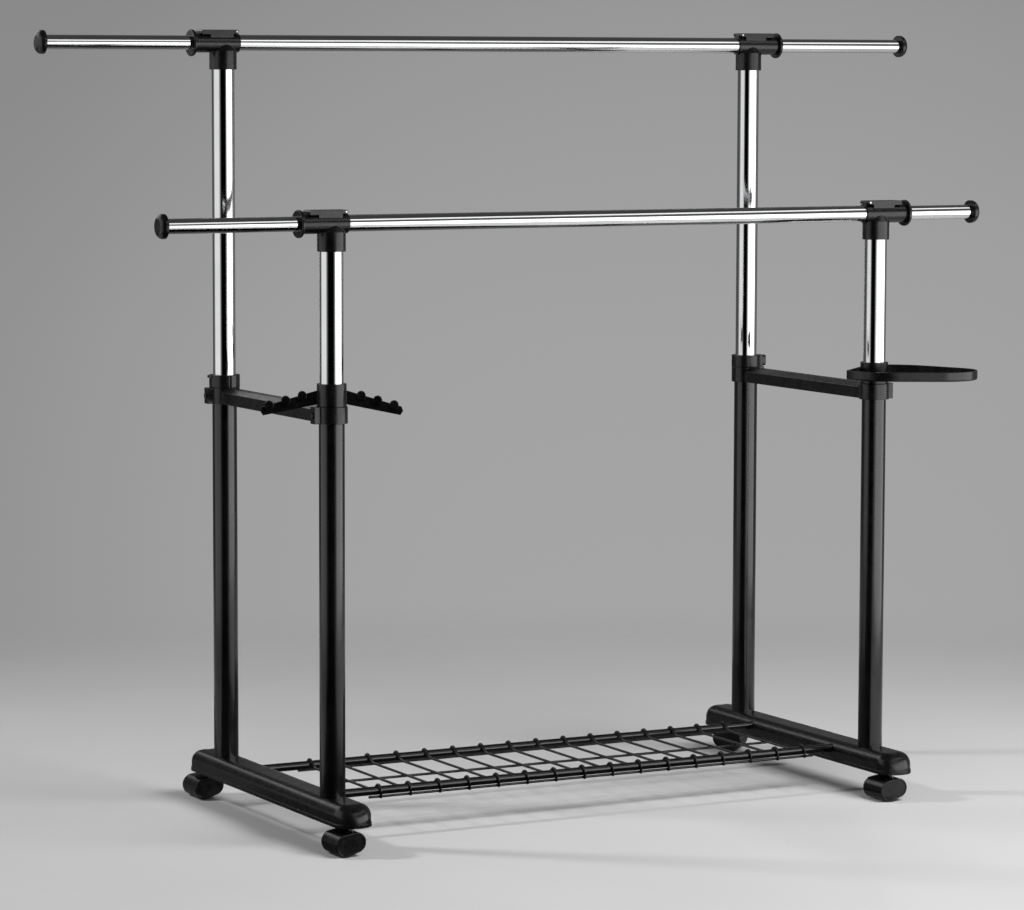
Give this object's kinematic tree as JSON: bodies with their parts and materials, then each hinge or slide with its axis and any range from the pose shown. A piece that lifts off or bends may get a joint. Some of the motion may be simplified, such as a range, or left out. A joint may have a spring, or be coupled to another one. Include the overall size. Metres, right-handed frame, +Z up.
{
  "type": "garment stand",
  "caption": "Rolling garment stand with two height-adjustable rails, pull-out rods, a wire shoe shelf, a tray and a hook rack.",
  "frame": {"origin": "on the floor under the middle of the stand", "axes": "+X along the hanging rails, +Y towards the taller rear rail, +Z up"},
  "size_m": [1.55, 0.6148, 1.1995],
  "materials": {
    "black_tube": "satin black powder coat",
    "chrome": "bright chrome plate",
    "black_plastic": "moulded black plastic, low gloss",
    "bush_plastic": "plain moulded black plastic",
    "wheel_plastic": "hard black wheel plastic",
    "zinc_steel": "bright zinc plate",
    "shelf_metal": "satin black coat"
  },
  "bodies": {
    "stand": {"base_left": "black_plastic", "base_right": "black_plastic", "stem_sockets": "bush_plastic", "lower_tube_rear_left": "black_tube", "lower_tube_rear_right": "black_tube", "lower_tube_front_left": "black_tube", "lower_tube_front_right": "black_tube", "guide_bushes": "bush_plastic", "height_collar_left": "black_plastic", "spacer_bar_left": "black_plastic", "height_collar_right": "black_plastic", "spacer_bar_right": "black_plastic", "spacer_screws": "bush_plastic", "shelf_bars": "shelf_metal", "cross_wires": "shelf_metal", "long_wires": "shelf_metal"},
    "rear_frame": {"main_rail_rear": "chrome", "foot_bushes_rear": "bush_plastic", "rod_bushes_rear": "black_plastic", "lever_pins_rear": "zinc_steel", "upper_tube_rear_left": "chrome", "tee_rear_left": "black_plastic", "upper_tube_rear_right": "chrome", "tee_rear_right": "black_plastic"},
    "rod_rear_left": {"extension_rod_rear_left": "chrome", "end_cap_rear_left": "black_plastic"},
    "lever_rear_left": {"rail_lever_rear_left": "black_plastic"},
    "rod_rear_right": {"extension_rod_rear_right": "chrome", "end_cap_rear_right": "black_plastic"},
    "lever_rear_right": {"rail_lever_rear_right": "black_plastic"},
    "front_frame": {"main_rail_front": "chrome", "foot_bushes_front": "bush_plastic", "rod_bushes_front": "black_plastic", "lever_pins_front": "zinc_steel", "upper_tube_front_left": "chrome", "tee_front_left": "black_plastic", "upper_tube_front_right": "chrome", "tee_front_right": "black_plastic"},
    "rod_front_left": {"extension_rod_front_left": "chrome", "end_cap_front_left": "black_plastic"},
    "lever_front_left": {"rail_lever_front_left": "black_plastic"},
    "rod_front_right": {"extension_rod_front_right": "chrome", "end_cap_front_right": "black_plastic"},
    "lever_front_right": {"rail_lever_front_right": "black_plastic"},
    "knob_left": {"height_knob_left": "black_plastic"},
    "knob_right": {"height_knob_right": "black_plastic"},
    "hook_rack": {"hook_rack": "black_plastic"},
    "tray": {"tray": "black_plastic"},
    "castor_rear_left": {"castor_hood_rear_left": "black_plastic", "castor_pins_rear_left": "zinc_steel"},
    "wheels_rear_left": {"castor_wheels_rear_left": "wheel_plastic"},
    "castor_rear_right": {"castor_hood_rear_right": "black_plastic", "castor_pins_rear_right": "zinc_steel"},
    "wheels_rear_right": {"castor_wheels_rear_right": "wheel_plastic"},
    "castor_front_left": {"castor_hood_front_left": "black_plastic", "castor_pins_front_left": "zinc_steel"},
    "wheels_front_left": {"castor_wheels_front_left": "wheel_plastic"},
    "castor_front_right": {"castor_hood_front_right": "black_plastic", "castor_pins_front_right": "zinc_steel"},
    "wheels_front_right": {"castor_wheels_front_right": "wheel_plastic"}
  },
  "joints": [
    {"name": "rear_frame_height", "type": "slide", "parent": "stand", "child": "rear_frame", "axis": [0, 0, 1], "range_m": [-0.46, 0.085]},
    {"name": "rod_rear_left_reach", "type": "slide", "parent": "rear_frame", "child": "rod_rear_left", "axis": [-1, 0, 0], "range_m": [-0.237, 0.08]},
    {"name": "lever_rear_left_hinge", "type": "hinge", "parent": "rear_frame", "child": "lever_rear_left", "pos_m": [-0.4526, 0.1925, 1.1962], "axis": [0, 1, 0], "range_deg": [0, 100]},
    {"name": "rod_rear_right_reach", "type": "slide", "parent": "rear_frame", "child": "rod_rear_right", "axis": [1, 0, 0], "range_m": [-0.237, 0.08]},
    {"name": "lever_rear_right_hinge", "type": "hinge", "parent": "rear_frame", "child": "lever_rear_right", "pos_m": [0.4526, 0.1925, 1.1962], "axis": [0, -1, 0], "range_deg": [0, 100]},
    {"name": "front_frame_height", "type": "slide", "parent": "stand", "child": "front_frame", "axis": [0, 0, 1], "range_m": [-0.19, 0.345]},
    {"name": "rod_front_left_reach", "type": "slide", "parent": "front_frame", "child": "rod_front_left", "axis": [-1, 0, 0], "range_m": [-0.206, 0.111]},
    {"name": "lever_front_left_hinge", "type": "hinge", "parent": "front_frame", "child": "lever_front_left", "pos_m": [-0.4526, -0.1925, 0.9342], "axis": [0, 1, 0], "range_deg": [0, 100]},
    {"name": "rod_front_right_reach", "type": "slide", "parent": "front_frame", "child": "rod_front_right", "axis": [1, 0, 0], "range_m": [-0.12, 0.197]},
    {"name": "lever_front_right_hinge", "type": "hinge", "parent": "front_frame", "child": "lever_front_right", "pos_m": [0.4526, -0.1925, 0.9342], "axis": [0, -1, 0], "range_deg": [0, 100]},
    {"name": "knob_left_turn", "type": "hinge", "parent": "stand", "child": "knob_left", "pos_m": [-0.471, 0.2225, 0.6605], "axis": [0, 1, 0], "range_deg": [0, 360]},
    {"name": "knob_right_turn", "type": "hinge", "parent": "stand", "child": "knob_right", "pos_m": [0.50054, 0.18729, 0.6605], "axis": [0.9848, -0.1736, 0], "range_deg": [0, 360]},
    {"name": "hook_rack_swivel", "type": "hinge", "parent": "stand", "child": "hook_rack", "pos_m": [-0.471, -0.1925, 0.6675], "axis": [0, 0, 1], "range_deg": [-35, 80]},
    {"name": "tray_swivel", "type": "hinge", "parent": "stand", "child": "tray", "pos_m": [0.471, -0.1925, 0.6675], "axis": [0, 0, 1], "range_deg": [-90, 90]},
    {"name": "castor_rear_left_swivel", "type": "hinge", "parent": "stand", "child": "castor_rear_left", "pos_m": [-0.471, 0.2555, 0.039], "axis": [0, 0, 1], "continuous": true},
    {"name": "wheels_rear_left_spin", "type": "hinge", "parent": "castor_rear_left", "child": "wheels_rear_left", "pos_m": [-0.491, 0.2555, 0.015], "axis": [0, 1, 0], "continuous": true},
    {"name": "castor_rear_right_swivel", "type": "hinge", "parent": "stand", "child": "castor_rear_right", "pos_m": [0.471, 0.2555, 0.039], "axis": [0, 0, 1], "continuous": true},
    {"name": "wheels_rear_right_spin", "type": "hinge", "parent": "castor_rear_right", "child": "wheels_rear_right", "pos_m": [0.48514, 0.24136, 0.015], "axis": [-0.7071, -0.7071, 0], "continuous": true},
    {"name": "castor_front_left_swivel", "type": "hinge", "parent": "stand", "child": "castor_front_left", "pos_m": [-0.471, -0.2555, 0.039], "axis": [0, 0, 1], "continuous": true},
    {"name": "wheels_front_left_spin", "type": "hinge", "parent": "castor_front_left", "child": "wheels_front_left", "pos_m": [-0.491, -0.2555, 0.015], "axis": [0, 1, 0], "continuous": true},
    {"name": "castor_front_right_swivel", "type": "hinge", "parent": "stand", "child": "castor_front_right", "pos_m": [0.471, -0.2555, 0.039], "axis": [0, 0, 1], "continuous": true},
    {"name": "wheels_front_right_spin", "type": "hinge", "parent": "castor_front_right", "child": "wheels_front_right", "pos_m": [0.451, -0.2555, 0.015], "axis": [0, 1, 0], "continuous": true}
  ]
}
